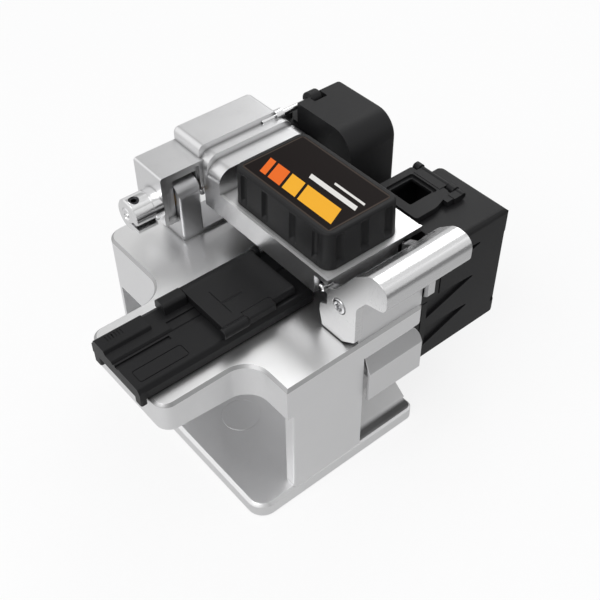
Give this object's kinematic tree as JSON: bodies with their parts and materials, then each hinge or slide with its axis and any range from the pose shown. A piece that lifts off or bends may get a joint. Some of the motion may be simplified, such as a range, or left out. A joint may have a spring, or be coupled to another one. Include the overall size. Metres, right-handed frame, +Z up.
{
  "type": "fibre cleaver",
  "caption": "Bench fibre cleaver: milled metal base with side platform, latching lever with blade carriage, sliding fibre holder with flip lid, and a side scrap collector with bin.",
  "frame": {"origin": "on the bench top, at the rubber feet's underside, below the middle of the whole tool", "axes": "+Z up, +X along the fibre from the holder to the scrap bin, +Y from the front handle to the rear hinge"},
  "size_m": [0.1146, 0.0932, 0.078],
  "materials": {
    "blasted_aluminium": "satin",
    "polished_aluminium": "polished",
    "carriage_aluminium": "satin",
    "black_plastic": "matte",
    "label_film": "satin",
    "chrome": "polished",
    "steel": "satin",
    "carbide": "polished",
    "bronze": "satin",
    "magnet": "satin",
    "rubber": "matte",
    "anvil_steel": "polished"
  },
  "bodies": {
    "base": {"base_frame": "blasted_aluminium", "rubber_feet": "rubber", "underside_cover": "carriage_aluminium", "underside_screws": "steel", "latch_block": "blasted_aluminium", "closing_magnet": "magnet", "handle_pivot_screws": "steel", "hinge_pedestal": "blasted_aluminium", "hinge_bushings": "bronze", "opening_spring": "steel", "lower_clamp_blocks": "steel", "lower_clamp_pads": "rubber", "carriage_guide_rail": "steel", "holder_rail": "steel", "holder_rail_screws": "steel", "collector_housing": "black_plastic", "collector_axle": "steel", "housing_screws": "steel", "roller_bearer": "black_plastic"},
    "lever": {"lever_frame": "polished_aluminium", "catch_pin": "chrome", "drive_pin": "chrome", "drive_arm": "black_plastic", "cover_box": "black_plastic", "label_plate": "label_film", "cover_screws": "steel", "upper_clamp_blocks": "steel", "upper_clamp_pads": "rubber", "anvil": "anvil_steel", "hinge_shaft": "chrome", "clamp_collar": "chrome", "collar_screw": "steel"},
    "handle": {"latch_handle": "blasted_aluminium"},
    "carriage": {"carriage_slide_block": "carriage_aluminium", "blade_carriage": "carriage_aluminium", "push_plate": "blasted_aluminium", "blade_screw": "steel"},
    "blade": {"blade_wheel": "carbide"},
    "holder": {"holder_base": "black_plastic", "holder_lid_pin": "steel"},
    "holder_lid_body": {"holder_lid": "black_plastic", "holder_lid_grip": "black_plastic", "holder_lid_clip": "black_plastic", "holder_lid_pad": "rubber"},
    "lower_roller": {"lower_scrap_roller": "rubber"},
    "upper_roller": {"upper_scrap_roller": "rubber"},
    "bin": {"scrap_bin": "black_plastic", "bin_door_pin": "steel"},
    "bin_lid": {"bin_door": "black_plastic"}
  },
  "joints": [
    {"name": "lever_hinge", "type": "hinge", "parent": "base", "child": "lever", "pos_m": [0.0091, 0.0337, 0.062], "axis": [-1, 0, 0], "range_deg": [0, 65]},
    {"name": "handle_pivot", "type": "hinge", "parent": "base", "child": "handle", "pos_m": [0.0089, -0.0299, 0.0603], "axis": [1, 0, 0], "range_deg": [0, 20], "stiffness_Nm_per_rad": 0.05, "springref_deg": -11.46},
    {"name": "carriage_slide", "type": "slide", "parent": "base", "child": "carriage", "axis": [0, 1, 0], "range_m": [0, 0.024]},
    {"name": "blade_index", "type": "hinge", "parent": "carriage", "child": "blade", "pos_m": [0.0072, -0.0134, 0.0436], "axis": [1, 0, 0], "continuous": true},
    {"name": "holder_slide", "type": "slide", "parent": "base", "child": "holder", "axis": [-1, 0, 0], "range_m": [0, 0.01]},
    {"name": "holder_lid_hinge", "type": "hinge", "parent": "holder", "child": "holder_lid_body", "pos_m": [-0.0189, 0.0065, 0.0537], "axis": [-1, 0, 0], "range_deg": [0, 105]},
    {"name": "lower_roller_spin", "type": "hinge", "parent": "base", "child": "lower_roller", "pos_m": [0.0263, -0.0024, 0.04935], "axis": [0, 1, 0], "range_deg": [-4, 269]},
    {"name": "upper_roller_spin", "type": "hinge", "parent": "base", "child": "upper_roller", "pos_m": [0.0263, -0.0024, 0.05525], "axis": [0, 1, 0], "range_deg": [-269, 4]},
    {"name": "bin_slide", "type": "slide", "parent": "base", "child": "bin", "axis": [1, 0, 0], "range_m": [0, 0.035]},
    {"name": "bin_lid_hinge", "type": "hinge", "parent": "bin", "child": "bin_lid", "pos_m": [0.0491, -0.0104, 0.0622], "axis": [0, 1, 0], "range_deg": [0, 100]}
  ],
  "couplings": [
    {"joint": "lower_roller_spin", "follows": "lever_hinge", "ratio": 4},
    {"joint": "upper_roller_spin", "follows": "lever_hinge", "ratio": -4}
  ]
}
